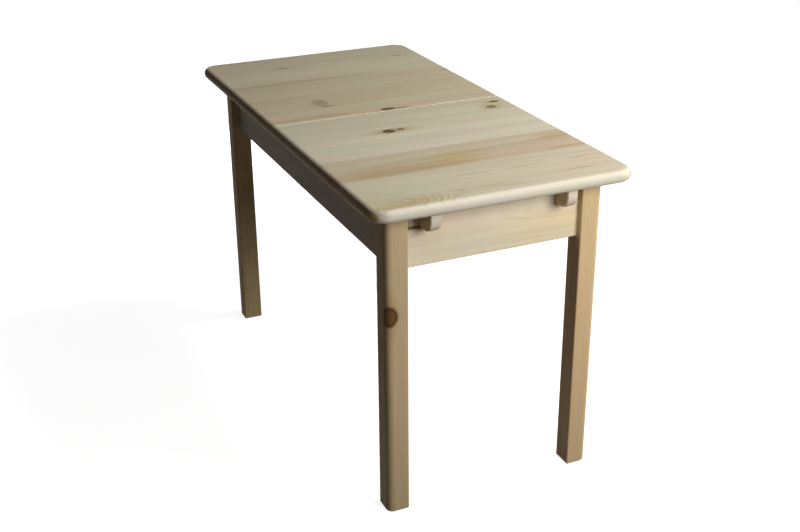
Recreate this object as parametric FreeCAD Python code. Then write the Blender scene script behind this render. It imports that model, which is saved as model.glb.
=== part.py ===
"""Extending pine table with a split top.

The two half tops lie edge to edge on a four-legged frame. Each half carries a pair of
wooden runners. The near half's runners lie in the inner tracks and stick out under the
near overhang; the far half's lie in the outer tracks and stick out at the far end. Each
runner's thin tail passes through a closed slot in the centre rail and ends in the notch
of the opposite end apron, so neither half can tip or lift when it is drawn out. A block
on each tail meets the centre rail at full travel.

Frame of the part: +X along the table towards the near end, +Z up, origin on the floor
under the middle of the top. Lengths in millimetres. Pieces of a corner are made for the
near right quarter, where X and Y are positive, and mirrored to the others.
"""
import FreeCAD, Part
import math
import os
from FreeCAD import Vector

# ---- the whole table ----
LENGTH = 1200.0
WIDTH = 600.0
HEIGHT = 735.0

# ---- top: two half panels of edge-glued staves, whose widths go by shares ----
TOP_THICKNESS = 28.0
CORNER_RADIUS = 40.0
EDGE_ROUND = 13.0
SPLIT_GAP = 0.4
SPLIT_EASE = 1.5
NEAR_STAVE_SHARES = (100, 97, 96, 128, 127, 52)
FAR_STAVE_SHARES = (100, 110, 130, 130, 130)

# ---- legs ----
LEG_SECTION = 50.0
LEG_END_SETBACK = 55.0
LEG_SIDE_SETBACK = 48.0
LEG_OUTER_ROUND = 15.0
LEG_EASE = 3.0
LEG_CORNER_FLAT = 8.0
FOOT_EASE = 2.5

# ---- aprons ----
APRON_HEIGHT = 132.0
APRON_THICKNESS = 20.0
END_APRON_RECESS = 15.5
SIDE_APRON_RECESS = 20.0
APRON_EASE = 2.0

# ---- runners ----
RUNNER_WIDTH = 25.0
RUNNER_HEIGHT = 47.0
RUNNER_END_SETBACK = 21.0
RUNNER_END_ROUND = 30.0
RUNNER_EASE = 2.0
RUNNER_GAP = 1.0
TAIL_HEIGHT = 28.0
TAIL_COVE = 8.0
TAIL_INSET = 1.0
TAIL_LEAD_ROUND = 9.0
TRAVEL = 200.0
SLIDE_CLEARANCE = 1.0

# ---- stop blocks on the tails ----
STOP_LENGTH = 30.0
STOP_HEIGHT = 14.0
STOP_EASE = 2.0
STOP_CONTACT_GAP = 0.3

# ---- notches in the end aprons ----
NOTCH_SIDE_CLEARANCE = 1.5
NOTCH_FLOOR_CLEARANCE = 2.0
NOTCH_ROUND = 4.0

# ---- centre rail and guide rails ----
CENTRE_RAIL_THICKNESS = 20.0
CENTRE_RAIL_HEIGHT = 90.0
CENTRE_RAIL_HOUSING = 6.0
CENTRE_SLOT_ROUND = 4.0
GUIDE_HEIGHT = 45.0
GUIDE_THICKNESS = 16.0

# ---- corner blocks with hanger bolts, washers and nuts ----
BLOCK_HEIGHT = 60.0
BLOCK_RISE = 10.0
BLOCK_THICKNESS = 40.0
BOLT_RADIUS = 4.0
BOLT_HOLE_CLEARANCE = 0.5
BOLT_LEG_DEPTH = 35.0
BOLT_TIP = 4.0
WASHER_RADIUS = 11.0
WASHER_THICKNESS = 1.6
NUT_SIDES = 6
NUT_ACROSS_FLATS = 13.0
NUT_HEIGHT = 6.5

# ---- locating dowels in the meeting edge ----
LOCATOR_COUNT = 2
LOCATOR_SPACING = 360.0
LOCATOR_RADIUS = 5.0
LOCATOR_CLEARANCE = 0.3
LOCATOR_EMBED = 25.0
LOCATOR_REACH = 15.0
LOCATOR_END_CLEARANCE = 2.0
LOCATOR_TIP = 1.5

# ---- places worked out from the sizes above ----
HALF_LENGTH = LENGTH / 2
HALF_WIDTH = WIDTH / 2
UNDERSIDE = HEIGHT - TOP_THICKNESS
LEG_OUTER_X = HALF_LENGTH - LEG_END_SETBACK
LEG_OUTER_Y = HALF_WIDTH - LEG_SIDE_SETBACK
LEG_INNER_X = LEG_OUTER_X - LEG_SECTION
LEG_INNER_Y = LEG_OUTER_Y - LEG_SECTION
APRON_BOTTOM = UNDERSIDE - APRON_HEIGHT
END_APRON_OUTER = LEG_OUTER_X - END_APRON_RECESS
END_APRON_INNER = END_APRON_OUTER - APRON_THICKNESS
SIDE_APRON_OUTER = LEG_OUTER_Y - SIDE_APRON_RECESS
SIDE_APRON_INNER = SIDE_APRON_OUTER - APRON_THICKNESS
HALF_RAIL = CENTRE_RAIL_THICKNESS / 2
RUNNER_BOTTOM = UNDERSIDE - RUNNER_HEIGHT
RUNNER_END = HALF_LENGTH - RUNNER_END_SETBACK
TAIL_TOP = RUNNER_BOTTOM + TAIL_HEIGHT
TAIL_END = END_APRON_OUTER - TAIL_INSET
HEAD_START = HALF_RAIL + 2 * SLIDE_CLEARANCE + TAIL_COVE
STOP_FACE = HALF_RAIL + TRAVEL + STOP_CONTACT_GAP
GUIDE_FACE = SIDE_APRON_INNER - GUIDE_THICKNESS
TRACKS_OUTSIDE = GUIDE_FACE - SLIDE_CLEARANCE
OUTER_TRACK = TRACKS_OUTSIDE - RUNNER_WIDTH
INNER_TRACK = OUTER_TRACK - RUNNER_GAP - RUNNER_WIDTH
BLOCK_BOTTOM = APRON_BOTTOM + BLOCK_RISE
BLOCK_MIDDLE = BLOCK_BOTTOM + BLOCK_HEIGHT / 2
CORNER_SUM = LEG_INNER_X + LEG_INNER_Y + LEG_CORNER_FLAT
BLOCK_INNER_SUM = CORNER_SUM - BLOCK_THICKNESS * math.sqrt(2)

# ---- directions, signs and small amounts ----
X_AXIS = Vector(1, 0, 0)
Y_AXIS = Vector(0, 1, 0)
Z_AXIS = Vector(0, 0, 1)
ENDS = (("near", 1), ("far", -1))
SIDES = (("left", -1), ("right", 1))
CUT_MARGIN = 1.0
SAME_PLACE = 0.001


# ---- small helpers ----
def block(x_range, y_range, z_range):
    """Box between two values on each axis, given in either order."""
    x_low, x_high = sorted(x_range)
    y_low, y_high = sorted(y_range)
    z_low, z_high = sorted(z_range)
    corner = Vector(x_low, y_low, z_low)
    return Part.makeBox(x_high - x_low, y_high - y_low, z_high - z_low, corner)


def rod(radius, start, end):
    """Round bar of one radius from start to end."""
    start = Vector(*start)
    run = Vector(*end) - start
    return Part.makeCylinder(radius, run.Length, start, run)


def prism(points, run):
    """Solid swept along run from the closed polygon through points."""
    outline = Part.makePolygon([Vector(*point) for point in points] + [Vector(*points[0])])
    return Part.Face(outline).extrude(Vector(*run))


def flipped(shape, x_sign, y_sign):
    """Shape of the near right quarter carried to another quarter by mirroring."""
    if x_sign < 0:
        shape = shape.mirror(Vector(0, 0, 0), X_AXIS)
    if y_sign < 0:
        shape = shape.mirror(Vector(0, 0, 0), Y_AXIS)
    return shape


def edges_along(shape, direction, keep):
    """Straight edges parallel to direction whose middle point passes keep."""
    chosen = []
    for edge in shape.Edges:
        if not isinstance(edge.Curve, Part.Line):
            continue
        if edge.Curve.Direction.cross(direction).Length > SAME_PLACE:
            continue
        if keep(edge.CenterOfMass):
            chosen.append(edge)
    return chosen


def upright_edges(shape, places):
    """Vertical edges that stand at the given places in plan."""
    def stands(middle):
        return any(math.hypot(middle.x - x, middle.y - y) < SAME_PLACE for x, y in places)
    return edges_along(shape, Z_AXIS, stands)


def lowest_edges(shape, direction):
    """Straight edges parallel to direction at the very bottom of the shape."""
    bottom = shape.BoundBox.ZMin
    return edges_along(shape, direction, lambda middle: middle.z < bottom + SAME_PLACE)


def quarter_arc(start, end, centre):
    """Quarter circle in the XZ plane between two points, given as (x, z), round centre."""
    radius = math.hypot(start[0] - centre[0], start[1] - centre[1])
    across = Vector(start[0] + end[0] - 2 * centre[0], 0, start[1] + end[1] - 2 * centre[1])
    middle = Vector(centre[0], 0, centre[1]) + across.normalize() * radius
    return Part.Arc(Vector(start[0], 0, start[1]), middle, Vector(end[0], 0, end[1])).toShape()


def straight(start, end):
    """Straight edge in the XZ plane between two points, given as (x, z)."""
    return Part.LineSegment(Vector(start[0], 0, start[1]), Vector(end[0], 0, end[1])).toShape()


def write(name, solids):
    """One STEP file per node; a node of several fasteners is a group of solids."""
    solids = list(solids)
    shape = solids[0] if len(solids) == 1 else Part.makeCompound(solids)
    for solid in shape.Solids:
        if not solid.isValid() or solid.Volume <= 0:
            raise ValueError(name + " has an unsound solid")
    shape.exportStep("parts/" + name + ".step")


# ---- top ----
def top_panel():
    """The closed top as one rounded slab, before it is parted into halves and staves."""
    slab = block((-HALF_LENGTH, HALF_LENGTH), (-HALF_WIDTH, HALF_WIDTH), (UNDERSIDE, HEIGHT))
    slab = slab.makeFillet(CORNER_RADIUS, edges_along(slab, Z_AXIS, lambda middle: True))
    rim = [edge for edge in slab.Edges if edge.BoundBox.ZLength < SAME_PLACE]
    return slab.makeFillet(EDGE_ROUND, rim)


def stave_lines(shares):
    """Distances from the split to each glue line, ending at the end of the top."""
    total = sum(shares)
    lines = [SPLIT_GAP / 2]
    for count in range(1, len(shares)):
        lines.append(HALF_LENGTH * sum(shares[:count]) / total)
    lines.append(HALF_LENGTH)
    return lines


def split_bevel(x_sign):
    """Waste of the small bevel along the top arris of a meeting edge."""
    face = x_sign * SPLIT_GAP / 2
    back = face - x_sign * CUT_MARGIN
    front = face + x_sign * (SPLIT_EASE + CUT_MARGIN)
    above = HEIGHT + CUT_MARGIN
    below = HEIGHT - SPLIT_EASE - CUT_MARGIN
    points = ((back, -WIDTH, below), (back, -WIDTH, above), (front, -WIDTH, above))
    return prism(points, (0, 2 * WIDTH, 0))


def locator_lines(x_start, x_end):
    """Axes of the locating dowels between two distances from the split."""
    middle = HEIGHT - TOP_THICKNESS / 2
    first = -LOCATOR_SPACING * (LOCATOR_COUNT - 1) / 2
    places = [first + count * LOCATOR_SPACING for count in range(LOCATOR_COUNT)]
    return [((x_start, y, middle), (x_end, y, middle)) for y in places]


def locating_dowels():
    """Dowels fixed in the near half's meeting edge that reach into the far half."""
    dowels = []
    for start, end in locator_lines(LOCATOR_EMBED, -LOCATOR_REACH):
        dowel = rod(LOCATOR_RADIUS, start, end)
        tip = [edge for edge in dowel.Edges if edge.BoundBox.XMax < -LOCATOR_REACH + SAME_PLACE]
        dowels.append(dowel.makeChamfer(LOCATOR_TIP, tip))
    return dowels


def locator_holes(x_sign):
    """Tight holes in the near half, and looser, deeper sockets in the far half."""
    if x_sign > 0:
        radius = LOCATOR_RADIUS
        depth = LOCATOR_EMBED
    else:
        radius = LOCATOR_RADIUS + LOCATOR_CLEARANCE
        depth = LOCATOR_REACH + LOCATOR_END_CLEARANCE
    lines = locator_lines(-x_sign * CUT_MARGIN, x_sign * depth)
    return [rod(radius, start, end) for start, end in lines]


def staves(panel, shares, x_sign):
    """Edge-glued staves of one half, from the split outwards."""
    lines = stave_lines(shares)
    waste = locator_holes(x_sign) + [split_bevel(x_sign)]
    half = []
    for start, end in zip(lines[:-1], lines[1:]):
        strip = block((x_sign * start, x_sign * end), (-WIDTH, WIDTH), (0, 2 * HEIGHT))
        stave = panel.common(strip)
        near_waste = [tool for tool in waste if tool.common(stave).Volume > 0]
        if near_waste:
            stave = stave.cut(near_waste)
        half.append(stave.Solids[0])
    return half


# ---- runners ----
def track_of(x_sign):
    """The near half runs in the inner tracks and the far half in the outer ones."""
    return INNER_TRACK if x_sign > 0 else OUTER_TRACK


def runner_profile():
    """Side outline of a near runner in the XZ plane: rounded head, cove and thin tail."""
    nose_low = (RUNNER_END - RUNNER_END_ROUND, RUNNER_BOTTOM)
    nose_high = (RUNNER_END, RUNNER_BOTTOM + RUNNER_END_ROUND)
    nose_centre = (nose_low[0], nose_high[1])
    cove_high = (HEAD_START, TAIL_TOP + TAIL_COVE)
    cove_low = (HEAD_START - TAIL_COVE, TAIL_TOP)
    cove_centre = (cove_low[0], cove_high[1])
    lead_high = (-TAIL_END, RUNNER_BOTTOM + TAIL_LEAD_ROUND)
    lead_low = (-TAIL_END + TAIL_LEAD_ROUND, RUNNER_BOTTOM)
    lead_centre = (lead_low[0], lead_high[1])
    edges = [
        quarter_arc(nose_low, nose_high, nose_centre),
        straight(nose_high, (RUNNER_END, UNDERSIDE)),
        straight((RUNNER_END, UNDERSIDE), (HEAD_START, UNDERSIDE)),
        straight((HEAD_START, UNDERSIDE), cove_high),
        quarter_arc(cove_high, cove_low, cove_centre),
        straight(cove_low, (-TAIL_END, TAIL_TOP)),
        straight((-TAIL_END, TAIL_TOP), lead_high),
        quarter_arc(lead_high, lead_low, lead_centre),
        straight(lead_low, nose_low),
    ]
    return Part.Wire(edges)


def runner(x_sign, y_sign):
    """One runner: head under its half top, then the tail through the centre rail."""
    body = Part.Face(runner_profile()).extrude(Vector(0, RUNNER_WIDTH, 0))
    body.translate(Vector(0, track_of(x_sign), 0))
    body = body.makeChamfer(RUNNER_EASE, lowest_edges(body, X_AXIS))
    return flipped(body.Solids[0], x_sign, y_sign)


def stop_block(x_sign, y_sign):
    """Block glued on a tail, whose face meets the centre rail at full travel."""
    track = track_of(x_sign)
    body = block(
        (-STOP_FACE - STOP_LENGTH, -STOP_FACE),
        (track, track + RUNNER_WIDTH),
        (TAIL_TOP, TAIL_TOP + STOP_HEIGHT),
    )
    upper = edges_along(body, Y_AXIS, lambda middle: middle.z > TAIL_TOP + SAME_PLACE)
    return flipped(body.makeChamfer(STOP_EASE, upper), x_sign, y_sign)


# ---- legs and aprons ----
def leg():
    """Near right leg: well rounded outer corner, eased arrises, flat for the corner block."""
    post = block((LEG_INNER_X, LEG_OUTER_X), (LEG_INNER_Y, LEG_OUTER_Y), (0, UNDERSIDE))
    others = ((LEG_INNER_X, LEG_INNER_Y), (LEG_INNER_X, LEG_OUTER_Y), (LEG_OUTER_X, LEG_INNER_Y))
    post = post.makeFillet(LEG_OUTER_ROUND, upright_edges(post, [(LEG_OUTER_X, LEG_OUTER_Y)]))
    post = post.makeFillet(LEG_EASE, upright_edges(post, others))
    foot = [edge for edge in post.Edges if edge.BoundBox.ZMax < SAME_PLACE]
    post = post.makeChamfer(min(FOOT_EASE, LEG_EASE - SAME_PLACE), foot)
    flat = prism(
        (
            (LEG_INNER_X - CUT_MARGIN, LEG_INNER_Y - CUT_MARGIN, APRON_BOTTOM),
            (LEG_INNER_X + LEG_CORNER_FLAT + CUT_MARGIN, LEG_INNER_Y - CUT_MARGIN, APRON_BOTTOM),
            (LEG_INNER_X - CUT_MARGIN, LEG_INNER_Y + LEG_CORNER_FLAT + CUT_MARGIN, APRON_BOTTOM),
        ),
        (0, 0, APRON_HEIGHT + CUT_MARGIN),
    )
    return post.cut([flat, bolt_shank()]).Solids[0]


def notch():
    """Waste of the near right notch, open at the top and out to the leg."""
    inner = INNER_TRACK - NOTCH_SIDE_CLEARANCE
    waste = block(
        (END_APRON_INNER - CUT_MARGIN, END_APRON_OUTER + CUT_MARGIN),
        (inner, LEG_INNER_Y + CUT_MARGIN),
        (RUNNER_BOTTOM - NOTCH_FLOOR_CLEARANCE, UNDERSIDE + CUT_MARGIN),
    )
    floor = lowest_edges(waste, X_AXIS)
    corner = [edge for edge in floor if edge.CenterOfMass.y < inner + SAME_PLACE]
    return waste.makeFillet(NOTCH_ROUND, corner)


def end_apron(x_sign):
    """Apron between the legs of one end, with a runner notch at each side."""
    board = block(
        (END_APRON_INNER, END_APRON_OUTER),
        (-LEG_INNER_Y, LEG_INNER_Y),
        (APRON_BOTTOM, UNDERSIDE),
    )
    board = board.makeFillet(APRON_EASE, lowest_edges(board, Y_AXIS))
    notches = [flipped(notch(), 1, y_sign) for side_name, y_sign in SIDES]
    return flipped(board.cut(notches).Solids[0], x_sign, 1)


def side_apron(y_sign):
    """Apron along one side, housed on its inner face for the centre rail."""
    board = block(
        (-LEG_INNER_X, LEG_INNER_X),
        (SIDE_APRON_INNER, SIDE_APRON_OUTER),
        (APRON_BOTTOM, UNDERSIDE),
    )
    board = board.makeFillet(APRON_EASE, lowest_edges(board, X_AXIS))
    housing = block(
        (-HALF_RAIL, HALF_RAIL),
        (SIDE_APRON_INNER - CUT_MARGIN, SIDE_APRON_INNER + CENTRE_RAIL_HOUSING),
        (UNDERSIDE - CENTRE_RAIL_HEIGHT, UNDERSIDE + CUT_MARGIN),
    )
    return flipped(board.cut(housing).Solids[0], 1, y_sign)


# ---- centre rail and guide rails ----
def centre_rail():
    """Cross rail under the split with a closed slot for each pair of tails."""
    reach = SIDE_APRON_INNER + CENTRE_RAIL_HOUSING
    board = block(
        (-HALF_RAIL, HALF_RAIL),
        (-reach, reach),
        (UNDERSIDE - CENTRE_RAIL_HEIGHT, UNDERSIDE),
    )
    slot = block(
        (-HALF_RAIL - CUT_MARGIN, HALF_RAIL + CUT_MARGIN),
        (INNER_TRACK - SLIDE_CLEARANCE, TRACKS_OUTSIDE + SLIDE_CLEARANCE),
        (RUNNER_BOTTOM - SLIDE_CLEARANCE, TAIL_TOP + SLIDE_CLEARANCE),
    )
    slot = slot.makeFillet(CENTRE_SLOT_ROUND, lowest_edges(slot, X_AXIS))
    return board.cut([flipped(slot, 1, y_sign) for side_name, y_sign in SIDES]).Solids[0]


def guide_rail(x_sign, y_sign):
    """Batten on the side apron that keeps the outer runner in its track."""
    batten = block(
        (HALF_RAIL, LEG_INNER_X),
        (GUIDE_FACE, SIDE_APRON_INNER),
        (UNDERSIDE - GUIDE_HEIGHT, UNDERSIDE),
    )
    return flipped(batten, x_sign, y_sign)


# ---- corner blocks, bolts, washers and nuts ----
def on_diagonal(distance):
    """Point on the near right hanger bolt's axis, this far in from the flat on the leg."""
    step = distance / math.sqrt(2)
    x = LEG_INNER_X + LEG_CORNER_FLAT / 2 - step
    y = LEG_INNER_Y + LEG_CORNER_FLAT / 2 - step
    return (x, y, BLOCK_MIDDLE)


def bolt_shank():
    """Hanger bolt, screwed into the leg and standing out past its nut."""
    end = BLOCK_THICKNESS + WASHER_THICKNESS + NUT_HEIGHT + BOLT_TIP
    return rod(BOLT_RADIUS, on_diagonal(-BOLT_LEG_DEPTH), on_diagonal(end))


def corner_block():
    """Mitred block across the near right corner, bored for the hanger bolt."""
    outline = (
        (CORNER_SUM - SIDE_APRON_INNER, SIDE_APRON_INNER, BLOCK_BOTTOM),
        (END_APRON_INNER, CORNER_SUM - END_APRON_INNER, BLOCK_BOTTOM),
        (END_APRON_INNER, BLOCK_INNER_SUM - END_APRON_INNER, BLOCK_BOTTOM),
        (BLOCK_INNER_SUM - SIDE_APRON_INNER, SIDE_APRON_INNER, BLOCK_BOTTOM),
    )
    body = prism(outline, (0, 0, BLOCK_HEIGHT))
    beyond = BLOCK_THICKNESS + CUT_MARGIN
    bore = rod(BOLT_RADIUS + BOLT_HOLE_CLEARANCE, on_diagonal(-CUT_MARGIN), on_diagonal(beyond))
    return body.cut(bore).Solids[0]


def washer():
    """Washer between the corner block and the nut."""
    outer_face = BLOCK_THICKNESS + WASHER_THICKNESS
    disc = rod(WASHER_RADIUS, on_diagonal(BLOCK_THICKNESS), on_diagonal(outer_face))
    return disc.cut(bolt_shank()).Solids[0]


def nut():
    """Hexagon nut on the bolt, seated on the washer."""
    corner_radius = NUT_ACROSS_FLATS / 2 / math.cos(math.pi / NUT_SIDES)
    points = []
    for count in range(NUT_SIDES):
        angle = 2 * math.pi * count / NUT_SIDES
        points.append((corner_radius * math.cos(angle), corner_radius * math.sin(angle), 0))
    body = prism(points, (0, 0, NUT_HEIGHT))
    seat = Vector(*on_diagonal(BLOCK_THICKNESS + WASHER_THICKNESS))
    inward = Vector(-1, -1, 0)
    body.Placement = FreeCAD.Placement(seat, FreeCAD.Rotation(Z_AXIS, inward))
    return body.cut(bolt_shank()).Solids[0]


def all_corners(piece):
    """The near right piece, repeated at the four corners."""
    return [flipped(piece, x_sign, y_sign) for end_name, x_sign in ENDS for side_name, y_sign in SIDES]


def build():
    """Every piece of the table, one STEP file per node."""
    os.makedirs("parts", exist_ok=True)
    panel = top_panel()
    for (end_name, x_sign), shares in zip(ENDS, (NEAR_STAVE_SHARES, FAR_STAVE_SHARES)):
        for number, stave in enumerate(staves(panel, shares, x_sign), 1):
            write(end_name + "_stave_" + str(number), [stave])
        write("end_apron_" + end_name, [end_apron(x_sign)])
        for side_name, y_sign in SIDES:
            place = end_name + "_" + side_name
            write(end_name + "_runner_" + side_name, [runner(x_sign, y_sign)])
            write(end_name + "_stop_block_" + side_name, [stop_block(x_sign, y_sign)])
            write("leg_" + place, [flipped(leg(), x_sign, y_sign)])
            write("corner_block_" + place, [flipped(corner_block(), x_sign, y_sign)])
            write("guide_rail_" + place, [guide_rail(x_sign, y_sign)])
    for side_name, y_sign in SIDES:
        write("side_apron_" + side_name, [side_apron(y_sign)])
    write("centre_rail", [centre_rail()])
    write("locating_dowels", locating_dowels())
    write("leg_bolts", all_corners(bolt_shank()))
    write("leg_bolt_washers", all_corners(washer()))
    write("leg_bolt_nuts", all_corners(nut()))


build()
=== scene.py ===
"""Looks of the extending pine table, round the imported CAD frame. Lengths in metres."""
import math
import random
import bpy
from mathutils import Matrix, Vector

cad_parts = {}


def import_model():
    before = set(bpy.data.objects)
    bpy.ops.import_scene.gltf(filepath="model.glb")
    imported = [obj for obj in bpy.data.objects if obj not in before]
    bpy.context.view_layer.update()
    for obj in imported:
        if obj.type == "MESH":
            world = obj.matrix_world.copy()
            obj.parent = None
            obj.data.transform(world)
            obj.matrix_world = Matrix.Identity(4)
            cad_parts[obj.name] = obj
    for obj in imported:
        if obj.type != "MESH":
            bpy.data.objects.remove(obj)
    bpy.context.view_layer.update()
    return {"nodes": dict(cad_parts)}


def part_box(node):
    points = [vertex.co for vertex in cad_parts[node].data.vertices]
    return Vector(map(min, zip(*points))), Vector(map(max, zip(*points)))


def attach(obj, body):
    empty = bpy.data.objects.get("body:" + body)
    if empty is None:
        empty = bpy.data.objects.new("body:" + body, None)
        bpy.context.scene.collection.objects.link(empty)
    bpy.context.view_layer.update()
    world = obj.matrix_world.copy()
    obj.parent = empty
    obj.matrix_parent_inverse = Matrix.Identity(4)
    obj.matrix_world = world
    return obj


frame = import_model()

import zlib

import bmesh
import bpy
from mathutils import Matrix, Vector

NODES = frame["nodes"]

# ---- camera: fitted to the table's edges, without lens shift ----
CAMERA_PLACE = Vector((2.5329, -1.1067, 1.5783))
CAMERA_AZIMUTH = 1.1515
CAMERA_PITCH = 0.4258
CAMERA_ROLL = -0.0076
SENSOR_WIDTH = 36.0
PICTURE_WIDTH = 800
FOCAL_PIXELS = 1193.65

# ---- wood colours, linear, and tints that they are multiplied by ----
TOP_COLOUR = (0.600, 0.545, 0.405)
APRON_COLOUR = (0.78, 0.69, 0.535)
# painted shade: the left side apron is darker than the right one, standing in for the shade on that
# side
LEFT_APRON_PAINTED_SHADE_COLOUR = (0.53, 0.442, 0.35)
LEG_COLOUR = (0.65, 0.50, 0.29)
RUNNER_COLOUR = (0.66, 0.55, 0.37)
BLOCK_COLOUR = (0.62, 0.50, 0.34)
DOWEL_COLOUR = (0.56, 0.38, 0.21)
FLECK_COLOUR = (0.30, 0.20, 0.10)
LATE_WOOD = (0.74, 0.64, 0.50)
OLIVE_LATE_WOOD = (0.80, 0.76, 0.50)
GOLDEN_LATE_WOOD = (0.84, 0.73, 0.50)
PINKER = (1.015, 0.975, 0.965)
GREENER = (0.98, 1.01, 0.98)
# painted highlight: makes the top's rounded edges and bevels paler, standing in for the light they
# catch
EDGE_PAINTED_HIGHLIGHT = (1.11, 1.135, 1.30)
END_GRAIN = (0.88, 0.80, 0.70)
TOP_END_GRAIN = (0.90, 0.76, 0.60)
# painted light: makes end grain pale, standing in for the light on the runners' lit ends
RUNNER_END_PAINTED_LIGHT = (1.22, 1.29, 1.62)

# ---- knots: heart, rim and the stained wood round them ----
OLIVE_KNOT = ((0.125, 0.090, 0.042), (0.075, 0.055, 0.025), (0.42, 0.32, 0.17))
AMBER_KNOT = ((0.170, 0.095, 0.036), (0.095, 0.050, 0.020), (0.46, 0.30, 0.14))
RUSSET_KNOT = ((0.170, 0.078, 0.024), (0.055, 0.021, 0.003), (0.44, 0.27, 0.12))
MUDDY_KNOT = ((0.190, 0.150, 0.085), (0.220, 0.175, 0.105), (0.42, 0.34, 0.20))
FAINT_KNOT = ((0.270, 0.220, 0.120), (0.350, 0.290, 0.165), (0.50, 0.43, 0.28))

# ---- picking the board's own axes out of the object's: along the grain, across, through ----
ALONG_X = ("X", "Z", "Y")
ALONG_Y = ("Y", "X", "Z")
END_APRON_AXES = ("Y", "Z", "X")
ALONG_Z = ("Z", "Y", "X")
NO_BEND = (0.0, 1.0, 0.0)

# ---- the ends and sides of the table, and the sign of x or y there ----
ENDS = (("near", 1), ("far", -1))
SIDES = (("left", -1), ("right", 1))


# ---- node helpers ----
class Tree:
    """A node tree with short calls for the nodes that the wood needs."""

    def __init__(self, tree):
        self.tree = tree

    def put(self, socket, value):
        if isinstance(value, bpy.types.NodeSocket):
            self.tree.links.new(value, socket)
        elif isinstance(value, (tuple, list)) and len(value) == 3 and socket.type == "RGBA":
            socket.default_value = (*value, 1.0)
        else:
            socket.default_value = value

    def node(self, kind, *inputs, **settings):
        made = self.tree.nodes.new(kind)
        for key, value in settings.items():
            setattr(made, key, value)
        for place, value in enumerate(inputs):
            if value is not None:
                self.put(made.inputs[place], value)
        return made

    def math(self, operation, *values, clamp=False):
        return self.node("ShaderNodeMath", *values, operation=operation, use_clamp=clamp).outputs[0]

    def vector(self, operation, *values):
        made = self.node("ShaderNodeVectorMath", *values, operation=operation)
        return made.outputs["Value" if operation in ("LENGTH", "DOT_PRODUCT") else "Vector"]

    def split(self, vector):
        return self.node("ShaderNodeSeparateXYZ", vector).outputs

    def join(self, x, y, z):
        return self.node("ShaderNodeCombineXYZ", x, y, z).outputs[0]

    def noise(self, vector, scale=1.0, detail=2.0, roughness=0.5):
        made = self.node("ShaderNodeTexNoise")
        self.put(made.inputs["Vector"], vector)
        self.put(made.inputs["Scale"], scale)
        self.put(made.inputs["Detail"], detail)
        self.put(made.inputs["Roughness"], roughness)
        return made.outputs["Fac"]

    def spread(self, value, low, high, new_low=0.0, new_high=1.0, smooth=True):
        made = self.node("ShaderNodeMapRange", value, low, high, new_low, new_high)
        made.interpolation_type = "SMOOTHSTEP" if smooth else "LINEAR"
        return made.outputs[0]

    def blend(self, factor, first, second, mode="MIX"):
        made = self.node("ShaderNodeMix", data_type="RGBA", blend_type=mode)
        self.put(made.inputs["Factor"], factor)
        self.put(made.inputs["A"], first)
        self.put(made.inputs["B"], second)
        return next(socket for socket in made.outputs if socket.type == "RGBA")

    def dim(self, shade, amount):
        """A colour times a number that changes over the surface."""
        return self.blend(1.0, shade, self.join(amount, amount, amount), mode="MULTIPLY")

    def ramp(self, value, stops):
        made = self.node("ShaderNodeValToRGB", value)
        points = made.color_ramp.elements
        while len(points) < len(stops):
            points.new(0.5)   # its own place is set below
        for point, (place, level) in zip(points, stops):
            point.position = place
            point.color = (level, level, level, 1.0)
        return made.outputs[0]


def new_group(name, inputs, outputs):
    """Empty node group with float or vector inputs, given as name and kind."""
    made = bpy.data.node_groups.new(name, "ShaderNodeTree")
    for label, kind in inputs:
        made.interface.new_socket(label, in_out="INPUT", socket_type="NodeSocket" + kind)
    for label in outputs:
        made.interface.new_socket(label, in_out="OUTPUT", socket_type="NodeSocketFloat")
    tree = Tree(made)
    return made, tree, tree.node("NodeGroupInput").outputs, tree.node("NodeGroupOutput").inputs


# ---- how the wood is drawn. Rates are noise turns per metre, along the grain and across it. A span
# is the lowest and highest value that goes in and, where that isn't 0 and 1, what comes out. ----
NOISE_MIDDLE = 0.5
SLOW_RATES = (1.3, 7.0)
SLOW_WANDER = 0.030
QUICK_RATES = (9.0, 22.0)
QUICK_WANDER = 0.0035
YEAR_RATE = 55.0
YEAR_CHANGE = 3.2
YEAR_ROW = 3.7
YEAR_SCALE = 0.83
YEAR_STRENGTH = (0.3, 0.7, 0.30, 1.0)
RING_STOPS = ((0.0, 0.05), (0.45, 0.10), (0.80, 0.62), (0.93, 1.0), (1.0, 0.05))
FADE_RATES = (3.0, 26.0)
FADE_SPAN = (0.35, 0.62, 0.25, 1.0)
BAND_RATES = (0.7, 38.0)
BAND_SPAN = (0.30, 0.70)
BAND_DEPTH = 0.06
STREAK_RATES = (2.2, 75.0)
STREAK_SHADE = (0.25, 0.75, 0.95, 1.045)
FINE_RATES = (14.0, 900.0)
FINE_SHADE = (0.2, 0.8, 0.955, 1.045)
FLECK_RATES = (30.0, 900.0)
FLECK_SPAN = (0.66, 0.74)
FLECK_STRENGTH = 0.22
PATCH_RATES = (2.6, 15.0)
PATCH_SPAN = (0.34, 0.66)
STAIN_RAGGED = 1.2
STAIN_SPAN = (0.35, 1.25, 1.0, 0.0)
GRAIN_SHIFT = 9.0
RING_SPACING = 0.0045
RING_CONTRAST = 0.4
FADED_LINE = 0.25
END_SPAN = (0.75, 0.93)
ROUNDED_END_SPAN = (0.52, 0.74)
ROUND_SPAN = (0.80, 0.985, 1.0, 0.0)
PORE_SCALE = 1900.0
PORE_SHADE = (0.35, 0.7, 0.82, 1.0)
WOOD_ROUGHNESS = (0.2, 0.8, 0.70, 0.60)
RING_POLISH = 0.06
RING_HEIGHT = 0.35
FINE_HEIGHT = 0.65
WOOD_BUMP = (0.30, 0.00025)
WOOD_SPECULAR = 0.18

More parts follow.
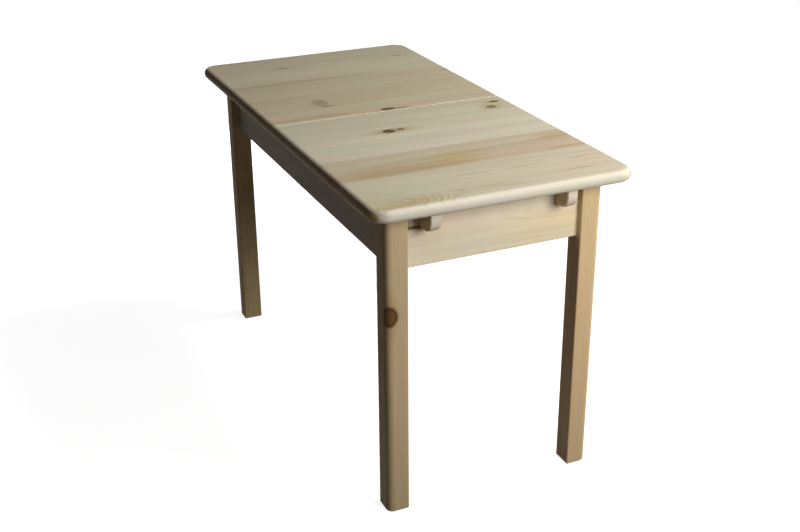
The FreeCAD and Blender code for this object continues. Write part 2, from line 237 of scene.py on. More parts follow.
# ---- how a knot is drawn, with distances in sizes of the knot ----
KNOT_SHIFT = (70.0, 70.0, 0.0)
KNOT_SCALE = 1.3
FLAME_STRETCH = (0.45, 1.0, 1.0)
CORE_SPAN = (0.74, 1.10, 1.0, 0.0)
KNOT_YEARS = 27.0
KNOT_YEAR_DEPTH = 0.20
RIM_SPAN = (0.45, 0.92)
HALO_SPAN = (0.50, 1.35, 1.0, 0.0)
HALO_STRENGTH = 0.55
PUSH_FALLOFF = -0.42

# ---- zinc plate ----
ZINC_DARK = (0.56, 0.57, 0.58)
ZINC_LIGHT = (0.72, 0.72, 0.69)
SPANGLE_SCALE = 260.0
SPANGLE_SPAN = (0.3, 0.7)
SCRATCH_RATES = (900.0, 900.0, 120.0)
SCRATCH_ROUGHNESS = (0.3, 0.7, 0.26, 0.44)
ZINC_BUMP = (0.15, 0.0001)


def stretched(tree, place, rates):
    """The place scaled for a noise whose features are longer along the grain than across it."""
    along_rate, cross_rate = rates
    return tree.vector("MULTIPLY", place, (along_rate, cross_rate, cross_rate))


def swing(tree, noise, reach):
    """A noise moved to both sides of zero, times reach."""
    return tree.math("MULTIPLY", tree.math("SUBTRACT", noise, NOISE_MIDDLE), reach)


def ring_group():
    """Year rings of a board, from its distance to the pith that it was sawn beside."""
    inputs = (("Place", "Vector"), ("Pith", "Vector"), ("Drift", "Vector"), ("Bend", "Vector"),
              ("Spacing", "Float"), ("Swirl", "Float"), ("Even", "Float"))
    group, tree, given, result = new_group("pine_rings", inputs, ("Line", "Rise", "Band"))
    place = given["Place"]
    along = tree.split(place)[0]
    bend_from, bend_to, bend_depth = tree.split(given["Bend"])
    sunk = tree.math("MULTIPLY", tree.spread(along, bend_from, bend_to), bend_depth)
    lean = tree.vector("MULTIPLY", given["Drift"], tree.join(along, along, along))
    off = tree.vector("SUBTRACT", tree.vector("SUBTRACT", place, given["Pith"]), lean)
    off = tree.vector("ADD", off, tree.join(0.0, 0.0, sunk))
    flat = tree.vector("MULTIPLY", off, (0.0, 1.0, 1.0))
    slow = tree.noise(stretched(tree, place, SLOW_RATES), roughness=0.45)
    wander = swing(tree, slow, SLOW_WANDER)
    quick = tree.noise(stretched(tree, place, QUICK_RATES))
    shiver = swing(tree, quick, QUICK_WANDER)
    radius = tree.math("ADD", tree.vector("LENGTH", flat), given["Swirl"])
    radius = tree.math("ADD", tree.math("ADD", radius, wander), shiver)
    years = tree.noise(tree.join(tree.math("MULTIPLY", radius, YEAR_RATE), 0.0, 0.0), detail=1.0)
    turns = tree.math("ADD", tree.math("DIVIDE", radius, given["Spacing"]),
                      tree.math("MULTIPLY", years, YEAR_CHANGE))
    line = tree.ramp(tree.math("FRACT", turns), RING_STOPS)
    year = tree.noise(tree.join(tree.math("FLOOR", turns), YEAR_ROW, 0.0), YEAR_SCALE, detail=0.0)
    strength = tree.spread(year, *YEAR_STRENGTH)
    fade = tree.spread(tree.noise(stretched(tree, place, FADE_RATES)), *FADE_SPAN)
    uneven = tree.math("MAXIMUM", tree.math("MULTIPLY", strength, fade), given["Even"])
    tree.put(result["Line"], tree.math("MULTIPLY", line, uneven))
    tree.put(result["Rise"], line)
    along_rate, radius_rate = BAND_RATES
    bands = tree.noise(tree.join(tree.math("MULTIPLY", radius, radius_rate),
                                 tree.math("MULTIPLY", along, along_rate), 0.0))
    tree.put(result["Band"], tree.spread(bands, *BAND_SPAN, smooth=False))
    return group


def fibre_group():
    """Fine streaks along the grain, resin flecks, and slow patches of colour."""
    group, tree, given, result = new_group("pine_fibre", (("Place", "Vector"),),
                                           ("Streak", "Fleck", "Patch", "Fine"))
    place = given["Place"]
    streak = tree.noise(stretched(tree, place, STREAK_RATES), detail=3.0, roughness=0.6)
    tree.put(result["Streak"], streak)
    tree.put(result["Fine"], tree.noise(stretched(tree, place, FINE_RATES), roughness=0.6))
    fleck = tree.noise(stretched(tree, place, FLECK_RATES), detail=1.0)
    tree.put(result["Fleck"], tree.spread(fleck, *FLECK_SPAN))
    tree.put(result["Patch"], tree.noise(stretched(tree, place, PATCH_RATES)))
    return group


def knot_group():
    """One knot: its heart and rim, the stained wood round it, and how far it pushes the rings."""
    inputs = (("Place", "Vector"), ("Centre", "Vector"), ("Size", "Vector"), ("Wobble", "Float"))
    group, tree, given, result = new_group("pine_knot", inputs, ("Core", "Rim", "Halo", "Push"))
    away = tree.vector("SUBTRACT", given["Place"], given["Centre"])
    away = tree.vector("DIVIDE", away, given["Size"])
    own = tree.vector("ADD", away, tree.vector("MULTIPLY", given["Centre"], KNOT_SHIFT))
    shape = tree.noise(own, KNOT_SCALE, detail=4.0, roughness=0.65)
    wobble = swing(tree, shape, given["Wobble"])
    distance = tree.math("ADD", tree.vector("LENGTH", away), wobble)
    flame = tree.vector("LENGTH", tree.vector("MULTIPLY", away, FLAME_STRETCH))
    tree.put(result["Core"], tree.spread(distance, *CORE_SPAN))
    year = tree.math("SINE", tree.math("MULTIPLY", distance, KNOT_YEARS))
    year = tree.math("MULTIPLY", year, KNOT_YEAR_DEPTH)
    tree.put(result["Rim"], tree.math("ADD", tree.spread(distance, *RIM_SPAN), year, clamp=True))
    tree.put(result["Halo"], tree.spread(tree.math("ADD", flame, wobble), *HALO_SPAN))
    falloff = tree.math("MULTIPLY", tree.math("MULTIPLY", distance, distance), PUSH_FALLOFF)
    tree.put(result["Push"], tree.math("EXPONENT", falloff))
    return group


RINGS = ring_group()
FIBRE = fibre_group()
KNOT = knot_group()


def board_place(tree, axes):
    """The place in the board's own order, and how squarely a face looks along each object axis."""
    coordinates = tree.node("ShaderNodeTexCoord")
    by_name = dict(zip("XYZ", tree.split(coordinates.outputs["Object"])))
    normal = dict(zip("XYZ", tree.split(coordinates.outputs["Normal"])))
    facing = {axis: tree.math("ABSOLUTE", part) for axis, part in normal.items()}
    return tree.join(*[by_name[axis] for axis in axes]), facing


def group_node(tree, group, **values):
    made = tree.node("ShaderNodeGroup", node_tree=group)
    for label, value in values.items():
        tree.put(made.inputs[label], value)
    return made.outputs


def new_material(name):
    made = bpy.data.materials.new(name)
    made.use_nodes = True
    made.node_tree.nodes.clear()
    return made, Tree(made.node_tree)


def shaded(tree, shade, rough, height, bump):
    """The shader and output of a material. The bump is its strength and its distance."""
    bumped = tree.node("ShaderNodeBump")
    bumped.inputs["Strength"].default_value, bumped.inputs["Distance"].default_value = bump
    tree.put(bumped.inputs["Height"], height)
    shader = tree.node("ShaderNodeBsdfPrincipled")
    tree.put(shader.inputs["Base Color"], shade)
    tree.put(shader.inputs["Roughness"], rough)
    tree.put(shader.inputs["Normal"], bumped.outputs[0])
    tree.put(tree.node("ShaderNodeOutputMaterial").inputs["Surface"], shader.outputs[0])
    return shader


def tinted(colour, tint):
    return tuple(part * amount for part, amount in zip(colour, tint))


def knot_shade(tree, shade, marks):
    """Lays the knots of a board over its wood. Marks are knot outputs, tone and strength."""
    for knot, (heart, rim, stained), strength in marks:
        halo = tree.math("MULTIPLY", knot["Halo"], HALO_STRENGTH * strength)
        shade = tree.blend(halo, shade, stained)
        middle = tree.blend(knot["Rim"], heart, rim)
        shade = tree.blend(tree.math("MULTIPLY", knot["Core"], strength), shade, middle)
    return shade


def patch_shade(tree, shade, place, streak, patches):
    """Soft stains of a board, and painted highlights, given as centre, size, tint and strength."""
    for centre, size, tint, strength in patches:
        away = tree.vector("DIVIDE", tree.vector("SUBTRACT", place, centre), size)
        ragged = swing(tree, streak, STAIN_RAGGED)
        soft = tree.math("ADD", tree.vector("LENGTH", away), ragged)
        mask = tree.math("MULTIPLY", tree.spread(soft, *STAIN_SPAN), strength)
        shade = tree.blend(mask, shade, tint, mode="MULTIPLY")
    return shade


def pine(name, axes, colour, pith, drift=(0.0, 0.0), bend=NO_BEND, spacing=RING_SPACING,
         contrast=RING_CONTRAST, late=LATE_WOOD, even=0.0, fade=None, knots=(), patches=(),
         edge_tint=None, end_tint=END_GRAIN):
    """Bare sanded pine board. Places are (along, across, through) in metres.

    The pith lies at (across, through) and moves by drift per metre along the board. Over the
    stretch of bend, given as start, end and depth, it sinks, which draws cathedral arches.
    Over the stretch of fade the lines grow faint. Even is the least strength of a line. The
    painted edge highlight paints the rounded edges paler, and the lines are fainter there.
    """
    dice = random.Random(zlib.crc32(name.encode()))
    material, tree = new_material(name)
    place, facing = board_place(tree, axes)
    seed = tuple(dice.uniform(-GRAIN_SHIFT, GRAIN_SHIFT) for axis in axes)
    own = tree.vector("ADD", place, seed)

    marks = []
    swirl = 0.0
    for centre, size, tone, strength, push, wobble in knots:
        knot = group_node(tree, KNOT, Place=place, Centre=centre, Size=size, Wobble=wobble)
        swirl = tree.math("MULTIPLY_ADD", knot["Push"], push, swirl)
        marks.append((knot, tone, strength))
    pith_across, pith_through = (seed[axis + 1] + pith[axis] - seed[0] * drift[axis]
                                 for axis in range(2))
    rings = group_node(tree, RINGS, Place=own, Spacing=spacing, Swirl=swirl, Even=even,
                       Pith=(0.0, pith_across, pith_through), Drift=(0.0, drift[0], drift[1]),
                       Bend=(seed[0] + bend[0], seed[0] + bend[1], bend[2]))
    fibre = group_node(tree, FIBRE, Place=own)

    patch = tree.spread(fibre["Patch"], *PATCH_SPAN)
    shade = tree.blend(patch, tinted(colour, GREENER), tinted(colour, PINKER))
    band = tree.spread(rings["Band"], 0.0, 1.0, 1.0 - BAND_DEPTH, 1.0 + BAND_DEPTH, smooth=False)
    shade = tree.dim(shade, band)
    line = tree.math("MULTIPLY", rings["Line"], contrast)
    if fade:
        along = tree.split(place)[0]
        line = tree.math("MULTIPLY", line, tree.spread(along, *fade, 1.0, FADED_LINE))
    if edge_tint:
        end = tree.spread(facing[axes[0]], *ROUNDED_END_SPAN)
        turned = tree.spread(facing[axes[2]], *ROUND_SPAN)
        turned = tree.math("MULTIPLY", turned, tree.math("SUBTRACT", 1.0, end))
        line = tree.math("MULTIPLY", line, tree.spread(turned, 0.0, 1.0, 1.0, FADED_LINE))
    else:
        end = tree.spread(facing[axes[0]], *END_SPAN)
    shade = tree.blend(line, shade, tinted(colour, late))
    streak = tree.spread(fibre["Streak"], *STREAK_SHADE, smooth=False)
    fine = tree.spread(fibre["Fine"], *FINE_SHADE, smooth=False)
    shade = tree.dim(shade, tree.math("MULTIPLY", streak, fine))
    flecks = tree.math("MULTIPLY", fibre["Fleck"], FLECK_STRENGTH)
    shade = tree.blend(flecks, shade, FLECK_COLOUR)
    shade = patch_shade(tree, shade, place, fibre["Streak"], patches)
    shade = knot_shade(tree, shade, marks)

    # painted highlight: the rounded edges are tinted paler where they turn
    if edge_tint:
        shade = tree.blend(turned, shade, edge_tint, mode="MULTIPLY")
    pores = tree.spread(tree.noise(own, PORE_SCALE, detail=1.0), *PORE_SHADE, smooth=False)
    sawn = tree.dim(tree.blend(1.0, shade, end_tint, mode="MULTIPLY"), pores)
    shade = tree.blend(end, shade, sawn)

    rough = tree.spread(fibre["Streak"], *WOOD_ROUGHNESS, smooth=False)
    rough = tree.math("SUBTRACT", rough, tree.math("MULTIPLY", rings["Line"], RING_POLISH))
    height = tree.math("ADD", tree.math("MULTIPLY", rings["Rise"], RING_HEIGHT * contrast),
                       tree.math("MULTIPLY", fibre["Fine"], FINE_HEIGHT))
    shader = shaded(tree, shade, rough, height, WOOD_BUMP)
    shader.inputs["Specular IOR Level"].default_value = WOOD_SPECULAR
    return material


def zinc_steel():
    """Zinc-plated steel with faint cloudy spangle and fine scratches."""
    material, tree = new_material("zinc_plate")
    place = tree.node("ShaderNodeTexCoord").outputs["Object"]
    cloud = tree.spread(tree.noise(place, SPANGLE_SCALE, detail=3.0, roughness=0.6), *SPANGLE_SPAN)
    scratch = tree.noise(tree.vector("MULTIPLY", place, SCRATCH_RATES))
    shade = tree.blend(cloud, ZINC_DARK, ZINC_LIGHT)
    rough = tree.spread(scratch, *SCRATCH_ROUGHNESS, smooth=False)
    shader = shaded(tree, shade, rough, scratch, ZINC_BUMP)
    shader.inputs["Metallic"].default_value = 1.0
    return material


# ---- knots, stains and painted highlights of the top, at places of the closed top ----
TOP_MIDDLE = 0.72
TOP_SPACING = 0.0050
THROUGH = 10.0   # deep enough to go right through a board


def top_knot(x, y, length, width, tone, strength=1.0, push=0.010, wobble=0.75):
    """Knot that goes right through a stave."""
    return ((y, x, TOP_MIDDLE), (length / 2, width / 2, THROUGH), tone, strength, push, wobble)


def stain_or_painted_light(x, y, length, width, tint, strength=1.0):
    """Soft coloured patch, longer along the grain; most are stains, the pale lines at the split are
    painted highlight.
    """
    return ((y, x, TOP_MIDDLE), (length / 2, width / 2, THROUGH), tint, strength)


BROWN = (0.84, 0.74, 0.62)
OCHRE = (0.90, 0.80, 0.55)
OLIVE = (0.90, 0.89, 0.74)
DARK_LINE = (0.78, 0.68, 0.56)
PALE = (1.06, 1.06, 1.05)
# painted highlight: the pale line along the split between the two halves
SPLIT_PAINTED_HIGHLIGHT = (1.20, 1.20, 1.16)
GOLD = (1.02, 1.00, 0.89)
ROSE = (1.00, 0.97, 0.98)
GREEN = (0.95, 1.01, 0.96)
RUSSET = (0.94, 0.86, 0.83)
SAP_NOSE = (0.92, 1.01, 0.94)

STAVES = {
    "near_stave_1": dict(
        tint=(0.98, 1.01, 1.00), contrast=0.24, pith=(0.02, -0.10),
        knots=[top_knot(0.040, 0.259, 0.027, 0.013, OLIVE_KNOT, 1.0, 0.006),
               top_knot(0.076, 0.233, 0.027, 0.025, MUDDY_KNOT, 0.85, 0.008)],
        patches=[stain_or_painted_light(0.060, 0.245, 0.10, 0.08, OLIVE)]),
    "near_stave_2": dict(
        tint=(1.08, 1.11, 1.12), contrast=0.24, pith=(-0.03, 0.13),
        knots=[top_knot(0.146, -0.068, 0.032, 0.028, AMBER_KNOT, 1.0, 0.012, 0.35),
               top_knot(0.143, -0.037, 0.022, 0.018, AMBER_KNOT, 0.6, 0.006, 0.6)],
        patches=[stain_or_painted_light(0.145, -0.055, 0.13, 0.050, BROWN, 0.75)]),
    "near_stave_3": dict(tint=(1.05, 1.07, 1.11), contrast=0.22, pith=(0.05, -0.12),
                         patches=[stain_or_painted_light(0.225, -0.12, 0.36, 0.07, GREEN)]),
    "near_stave_4": dict(
        tint=(0.94, 0.89, 0.85), contrast=0.30, pith=(0.10, 0.06),
        patches=[stain_or_painted_light(0.394, -0.16, 0.34, 0.080, BROWN, 0.85),
                 stain_or_painted_light(0.378, -0.01, 0.18, 0.090, OCHRE, 0.70),
                 stain_or_painted_light(0.370, 0.17, 0.30, 0.090, RUSSET, 0.6),
                 stain_or_painted_light(0.330, 0.26, 0.14, 0.040, BROWN, 0.7),
                 stain_or_painted_light(0.407, 0.245, 0.12, 0.020, BROWN, 0.8)]),
    "near_stave_5": dict(
        tint=(0.98, 0.955, 0.955), contrast=0.55, pith=(-0.02, 0.10), drift=(0.03, 0.0),
        spacing=0.0060,
        patches=[stain_or_painted_light(0.490, -0.22, 0.26, 0.12, GREEN),
                 stain_or_painted_light(0.477, -0.03, 0.10, 0.005, DARK_LINE),
                 stain_or_painted_light(0.482, 0.08, 0.09, 0.005, DARK_LINE),
                 stain_or_painted_light(0.477, 0.23, 0.08, 0.006, DARK_LINE),
                 stain_or_painted_light(0.540, 0.20, 0.09, 0.005, DARK_LINE)]),
    "near_stave_6": dict(
        tint=(1.01, 0.985, 1.005), contrast=1.3, pith=(-0.007, -0.042), bend=(-0.21, -0.10, 0.030),
        spacing=0.0052, late=OLIVE_LATE_WOOD, even=0.8, fade=(-0.13, -0.08),
        knots=[top_knot(0.556, -0.238, 0.010, 0.005, FAINT_KNOT, 0.35, 0.0),
               top_knot(0.560, -0.223, 0.014, 0.006, FAINT_KNOT, 0.35, 0.0),
               top_knot(0.557, -0.202, 0.011, 0.005, FAINT_KNOT, 0.35, 0.0)],
        patches=[stain_or_painted_light(0.571, -0.22, 0.22, 0.040, OLIVE),
                 stain_or_painted_light(0.553, -0.087, 0.030, 0.008, DARK_LINE),
                 stain_or_painted_light(0.552, -0.030, 0.080, 0.006, DARK_LINE, 0.7),
                 stain_or_painted_light(0.561, 0.0, 0.10, 0.005, OLIVE),
                 stain_or_painted_light(0.571, 0.035, 0.09, 0.005, DARK_LINE, 0.6),
                 stain_or_painted_light(0.600, 0.26, 0.50, 0.032, SAP_NOSE)]),
    "far_stave_1": dict(
        tint=(0.95, 0.91, 0.84), contrast=0.26, pith=(0.04, 0.09),
        knots=[top_knot(-0.014, 0.001, 0.040, 0.020, OLIVE_KNOT, 0.9, 0.010, 0.5),
               top_knot(-0.011, 0.036, 0.040, 0.006, OLIVE_KNOT, 0.7, 0.002),
               top_knot(-0.098, -0.125, 0.034, 0.009, OLIVE_KNOT, 0.75)],
        patches=[stain_or_painted_light(-0.024, -0.17, 0.24, 0.026, BROWN, 0.65),
                 # painted highlight along the split
                 stain_or_painted_light(-0.002, -0.17, 0.40, 0.010, SPLIT_PAINTED_HIGHLIGHT),
                 stain_or_painted_light(-0.002, 0.19, 0.32, 0.010, SPLIT_PAINTED_HIGHLIGHT)]),
    "far_stave_2": dict(tint=(0.90, 0.88, 0.80), contrast=0.26, pith=(-0.05, -0.10),
                        knots=[top_knot(-0.132, -0.131, 0.042, 0.062, FAINT_KNOT, 0.6, 0.010,
                                        0.6)]),
    "far_stave_3": dict(
        tint=(0.92, 0.89, 0.83), contrast=0.28, pith=(0.04, 0.11),
        knots=[top_knot(-0.280, 0.292, 0.020, 0.008, OLIVE_KNOT, 0.6)],
        patches=[stain_or_painted_light(-0.338, -0.10, 0.60, 0.022, BROWN, 0.9)]),
    "far_stave_4": dict(tint=(0.94, 0.95, 0.91), contrast=0.24, pith=(-0.03, -0.14),
                        patches=[stain_or_painted_light(-0.39, 0.0, 0.70, 0.06, PALE)]),
    "far_stave_5": dict(
        tint=(0.92, 0.91, 0.87), contrast=0.26, pith=(0.03, 0.12),
        knots=[top_knot(-0.472, 0.227, 0.026, 0.009, OLIVE_KNOT, 0.75),
               top_knot(-0.475, -0.110, 0.046, 0.009, OLIVE_KNOT, 0.55)]),
}

# ---- the other boards: where the pith lies, as (across, through), and how they differ ----
LEG_KNOT = ((0.479, -0.247, 0.545), (0.026, 0.023, 0.018), RUSSET_KNOT, 1.0, 0.012, 0.10)
LEG_TINTS = {
    "near_left": (0.84, 0.85, 0.88),
    "near_right": (1.01, 0.985, 0.97),
    "far_left": (0.92, 0.94, 0.86),
    "far_right": (1.0, 1.0, 1.0),
}
LEG_PITH = (0.30, 0.46)
LEG_DRIFT = (0.0, 0.012)
END_APRON_STAINS = [((0.16, 0.61, 0.0), (0.16, 0.05, THROUGH), GOLD, 1.0),
                    ((-0.12, 0.66, 0.0), (0.14, 0.06, THROUGH), ROSE, 1.0)]
END_APRON_PITH = (0.668, 0.44)
END_APRON_BOARD = dict(drift=(0.10, 0.12), spacing=0.0062, contrast=0.85, late=GOLDEN_LATE_WOOD,
                       fade=(0.10, -0.14), patches=END_APRON_STAINS)
# the left apron's colour is painted shade; the right one has the plain apron colour
SIDE_APRON_COLOURS = {"left": LEFT_APRON_PAINTED_SHADE_COLOUR, "right": APRON_COLOUR}
SIDE_APRON_PITH = (0.70, 0.16)
SIDE_APRON_BOARD = dict(drift=(0.02, 0.0), spacing=0.0050)
RUNNER_WORDS = ("runner", "guide_rail", "stop_block")
RUNNER_PITH_OFF = (0.06, 0.04)
# the pale ends of runners, guide rails and stop blocks are painted light
RUNNER_BOARD = dict(drift=(0.01, 0.0), spacing=0.0040, end_tint=RUNNER_END_PAINTED_LIGHT)
BLOCK_PITH_OFF = (0.07, 0.03)
BLOCK_BOARD = dict(contrast=0.5)
RAIL_PITH = (0.60, 0.05)
RAIL_BOARD = dict(drift=(0.02, 0.0), contrast=0.5)
DOWEL_PITH = (0.70, 0.10)
DOWEL_BOARD = dict(spacing=0.0015, contrast=0.3)
STEEL_NODES = ("leg_bolts", "leg_bolt_washers", "leg_bolt_nuts")


def dress(node, material):
    for slot in NODES[node].material_slots:
        slot.material = material


def dress_pine(node, *board, **details):
    dress(node, pine(node + "_pine", *board, **details))


def box_middle(node):
    low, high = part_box(node)
    return [(low[axis] + high[axis]) / 2 for axis in range(3)]


def dress_top():
    for name, stave in STAVES.items():
        details = {"spacing": TOP_SPACING, **stave}
        colour = tinted(TOP_COLOUR, details.pop("tint"))
        across, through = details.pop("pith")
        pith = (box_middle(name)[0] + across, TOP_MIDDLE + through)
        dress_pine(name, ALONG_Y, colour, pith, edge_tint=EDGE_PAINTED_HIGHLIGHT, end_tint=TOP_END_GRAIN,
                   **details)


def dress_frame():
    for end, x_sign in ENDS:
        for side, y_sign in SIDES:
            corner = end + "_" + side
            knots = [LEG_KNOT] if corner == "near_left" else []
            pith = (y_sign * LEG_PITH[0], x_sign * LEG_PITH[1])
            dress_pine("leg_" + corner, ALONG_Z, tinted(LEG_COLOUR, LEG_TINTS[corner]), pith,
                       drift=LEG_DRIFT, knots=knots)
        pith = (END_APRON_PITH[0], x_sign * END_APRON_PITH[1])
        dress_pine("end_apron_" + end, END_APRON_AXES, APRON_COLOUR, pith, **END_APRON_BOARD)
    for side, y_sign in SIDES:
        pith = (SIDE_APRON_PITH[0], y_sign * SIDE_APRON_PITH[1])
        dress_pine("side_apron_" + side, ALONG_X, SIDE_APRON_COLOURS[side], pith,
                   **SIDE_APRON_BOARD)


def dress_inside():
    for node in NODES:
        x, y, z = box_middle(node)
        if any(word in node for word in RUNNER_WORDS):
            pith = (z + RUNNER_PITH_OFF[0], y + RUNNER_PITH_OFF[1])
            dress_pine(node, ALONG_X, RUNNER_COLOUR, pith, **RUNNER_BOARD)
        elif "corner_block" in node:
            pith = (y + BLOCK_PITH_OFF[0], x + BLOCK_PITH_OFF[1])
            dress_pine(node, ALONG_Z, BLOCK_COLOUR, pith, **BLOCK_BOARD)
    dress_pine("centre_rail", END_APRON_AXES, RUNNER_COLOUR, RAIL_PITH, **RAIL_BOARD)
    dress("locating_dowels", pine("dowel_beech", ALONG_X, DOWEL_COLOUR, DOWEL_PITH, **DOWEL_BOARD))
    for node in STEEL_NODES:
        dress(node, STEEL)


# ---- wood screws: countersunk, with a cross recess. A corner block's face is where x + y is
# BLOCK_FACE, and its screws lie on both sides of the bolt ----
HEAD_RADIUS = 0.0040
HEAD_DEPTH = 0.0026
HEAD_PROUD = 0.00015
SHANK_RADIUS = 0.0018
SHANK_END = 0.0120
SCREW_SIDES = 24
RECESS_REACH = 0.0024
RECESS_HALF_WIDTH = 0.0006
RECESS_DEPTH = 0.0014
RECESS_TAPER = 0.6
RUNNER_BOTTOM = 0.660
RUNNER_SCREWS = (0.070, 0.270, 0.555)
BLOCK_FACE = 0.6484
BLOCK_BOLT_X = 0.4707
BLOCK_BOLT_Z = 0.615
BLOCK_SCREW_SPACING = 0.035
DOWN = (0.0, 0.0, -1.0)


def circle(radius, height):
    turns = [2.0 * math.pi * side / SCREW_SIDES for side in range(SCREW_SIDES)]
    return [Vector((radius * math.cos(turn), radius * math.sin(turn), height)) for turn in turns]


def cross(reach, half_width, height):
    corner = ((reach, -half_width), (reach, half_width), (half_width, half_width))
    points = []
    for quarter in range(4):
        turn = Matrix.Rotation(quarter * math.pi / 2.0, 3, "Z")
        points += [turn @ Vector((x, y, height)) for x, y in corner]
    return points


def ring(mesh, frame_of_screw, points):
    made = [mesh.verts.new(frame_of_screw @ point) for point in points]
    edges = [mesh.edges.new((made[place - 1], made[place])) for place in range(len(made))]
    return made, edges


def wall(mesh, first, second):
    for place in range(len(first)):
        mesh.faces.new((first[place - 1], first[place], second[place], second[place - 1]))


def add_screw(mesh, place, outward, spin):
    """One screw whose head lies in the face at place, turned by spin about its own axis."""
    turn = Vector(outward).to_track_quat("Z", "Y").to_matrix().to_4x4()
    frame_of_screw = Matrix.Translation(place) @ turn @ Matrix.Rotation(spin, 4, "Z")
    rim, rim_edges = ring(mesh, frame_of_screw, circle(HEAD_RADIUS, HEAD_PROUD))
    neck = ring(mesh, frame_of_screw, circle(SHANK_RADIUS, -HEAD_DEPTH))[0]
    end = ring(mesh, frame_of_screw, circle(SHANK_RADIUS, -SHANK_END))[0]
    wall(mesh, rim, neck)
    wall(mesh, neck, end)
    mesh.faces.new(end)
    high = cross(RECESS_REACH, RECESS_HALF_WIDTH, HEAD_PROUD)
    mouth, mouth_edges = ring(mesh, frame_of_screw, high)
    low = cross(RECESS_REACH * RECESS_TAPER, RECESS_HALF_WIDTH * RECESS_TAPER,
                HEAD_PROUD - RECESS_DEPTH)
    bottom = ring(mesh, frame_of_screw, low)[0]
    wall(mesh, mouth, bottom)
    mesh.faces.new(bottom)
    bmesh.ops.triangle_fill(mesh, use_beauty=True, edges=rim_edges + mouth_edges)


def add_object(name, data):
    made = bpy.data.objects.new(name, data)
    bpy.context.collection.objects.link(made)
    return made


def screws(name, body, places):
    """One piece with the screws of one body, given as places and directions out of the wood."""
    dice = random.Random(zlib.crc32(name.encode()))
    build = bmesh.new()
    for place, outward in places:
        add_screw(build, place, outward, dice.uniform(0.0, math.pi))
    bmesh.ops.recalc_face_normals(build, faces=build.faces)
    mesh = bpy.data.meshes.new(name)
    build.to_mesh(mesh)
    build.free()
    mesh.materials.append(STEEL)
    piece = add_object(name, mesh)
    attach(piece, body)


def all_screws():
    for half, x_sign in ENDS:
        places = []
        for side, _ in SIDES:
            middle = box_middle(half + "_runner_" + side)[1]
            places += [((x_sign * x, middle, RUNNER_BOTTOM), DOWN) for x in RUNNER_SCREWS]
        screws("runner_screws_" + half, "top_" + half, places)
    places = []
    for x_sign in (1, -1):
        for y_sign in (1, -1):
            for step in (-BLOCK_SCREW_SPACING, BLOCK_SCREW_SPACING):
                x = BLOCK_BOLT_X + step * math.sqrt(0.5)
                place = (x_sign * x, y_sign * (BLOCK_FACE - x), BLOCK_BOLT_Z)
                places.append((place, (-x_sign, -y_sign, 0.0)))
    screws("corner_block_screws", "frame", places)


# ---- stage ----
WHITE = (1.0, 1.0, 1.0)
FLOOR_HALF = 30.0
FLOOR_DROP = 0.0004
FLOOR_GLOW = (0.6, 3.5, 0.86, 1.0)
FLOOR_MATT = (0.60, 0.60, 0.60)
FLOOR_BOUNCE = (0.096, 0.080, 0.074)
WORLD_TINT = (1.0, 0.88, 0.92)
WORLD_STRENGTH = 0.058
LAMPS = (   # name, place, target, size, power, colour
    ("key", (1.75, 0.5, 1.22), (0.3, 0.0, 0.62), (0.8, 0.8), 20.8, (1.0, 0.98, 0.95)),
    ("above", (0.5, 2.2, 2.9), (0.2, 0.0, 0.70), (1.3, 1.3), 87.0, (0.98, 0.98, 1.0)),
    ("behind", (-2.3, 0.3, 0.42), (0.0, 0.0, 0.4), (1.0, 0.5), 13.0, (0.98, 0.99, 1.0)),
)


def camera():
    data = bpy.data.cameras.new("camera")
    data.sensor_width = SENSOR_WIDTH
    data.lens = FOCAL_PIXELS * SENSOR_WIDTH / PICTURE_WIDTH
    made = add_object("camera", data)
    sin_a, cos_a = math.sin(CAMERA_AZIMUTH), math.cos(CAMERA_AZIMUTH)
    sin_e, cos_e = math.sin(CAMERA_PITCH), math.cos(CAMERA_PITCH)
    back = Vector((sin_a * cos_e, -cos_a * cos_e, sin_e))
    right = Vector((cos_a, sin_a, 0.0))
    up = back.cross(right)
    sin_r, cos_r = math.sin(CAMERA_ROLL), math.cos(CAMERA_ROLL)
    columns = (cos_r * right + sin_r * up, cos_r * up - sin_r * right, back)
    turn = Matrix(columns).transposed().to_4x4()
    made.matrix_world = Matrix.Translation(CAMERA_PLACE) @ turn
    bpy.context.scene.camera = made


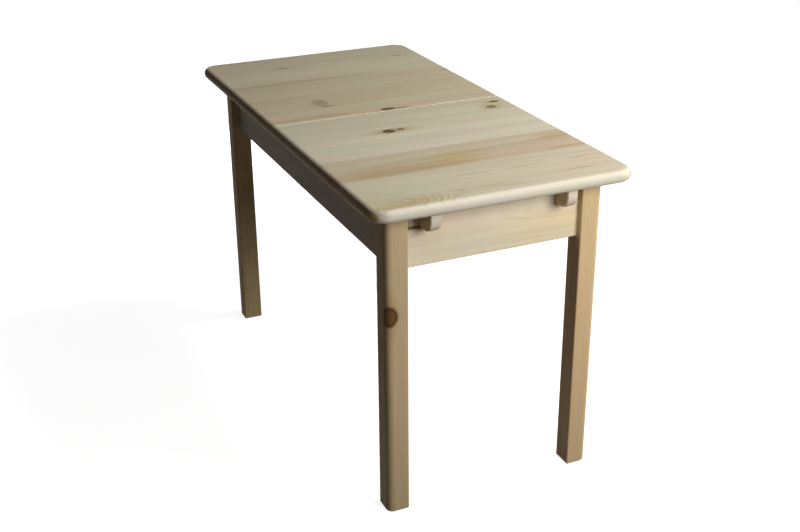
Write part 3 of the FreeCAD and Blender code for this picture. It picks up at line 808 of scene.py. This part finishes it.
def floor():
    """Pale floor with the table's soft shadow: white when seen, also in gloss or through glass.

    To the light that bounces off it, it is darker.
    """
    mesh = bpy.data.meshes.new("floor")
    corners = [(x * FLOOR_HALF, y * FLOOR_HALF, 0) for x, y in ((-1, -1), (1, -1), (1, 1), (-1, 1))]
    mesh.from_pydata(corners, [], [(0, 1, 2, 3)])
    made = add_object("floor", mesh)
    made.location.z = -FLOOR_DROP
    material, tree = new_material("floor_white")
    rays = tree.node("ShaderNodeLightPath").outputs
    seen = tree.math("MAXIMUM", rays["Is Camera Ray"],
                     tree.math("MAXIMUM", rays["Is Glossy Ray"], rays["Is Transmission Ray"]))
    place = tree.node("ShaderNodeTexCoord").outputs["Object"]
    away = tree.spread(tree.vector("LENGTH", place), *FLOOR_GLOW)
    glow = tree.node("ShaderNodeEmission", WHITE, away)
    matt = tree.node("ShaderNodeBsdfDiffuse", FLOOR_MATT)
    both = tree.node("ShaderNodeAddShader", glow.outputs[0], matt.outputs[0])
    dim = tree.node("ShaderNodeBsdfDiffuse", FLOOR_BOUNCE)
    choice = tree.node("ShaderNodeMixShader", seen, dim.outputs[0], both.outputs[0])
    tree.put(tree.node("ShaderNodeOutputMaterial").inputs["Surface"], choice.outputs[0])
    mesh.materials.append(material)


def world():
    """White behind the table, and a dim light from all round for every other ray."""
    made = bpy.data.worlds.new("studio")
    bpy.context.scene.world = made
    made.use_nodes = True
    made.node_tree.nodes.clear()
    tree = Tree(made.node_tree)
    rays = tree.node("ShaderNodeLightPath").outputs
    seen = tree.math("MAXIMUM", rays["Is Camera Ray"], rays["Is Transmission Ray"])
    white = tree.node("ShaderNodeBackground", WHITE, 1.0)
    dim = tree.node("ShaderNodeBackground", WORLD_TINT, WORLD_STRENGTH)
    choice = tree.node("ShaderNodeMixShader", seen, dim.outputs[0], white.outputs[0])
    tree.put(tree.node("ShaderNodeOutputWorld").inputs["Surface"], choice.outputs[0])


def lamp(name, place, target, size, power, colour):
    data = bpy.data.lights.new(name, "AREA")
    data.shape = "RECTANGLE"
    data.size, data.size_y = size
    data.energy = power
    data.color = colour
    made = add_object(name, data)
    made.location = place
    made.rotation_euler = (Vector(target) - Vector(place)).to_track_quat("-Z", "Y").to_euler()


STEEL = zinc_steel()
dress_top()
dress_frame()
dress_inside()
all_screws()
camera()
floor()
world()
for settings in LAMPS:
    lamp(*settings)
bpy.context.scene.view_settings.view_transform = "Standard"
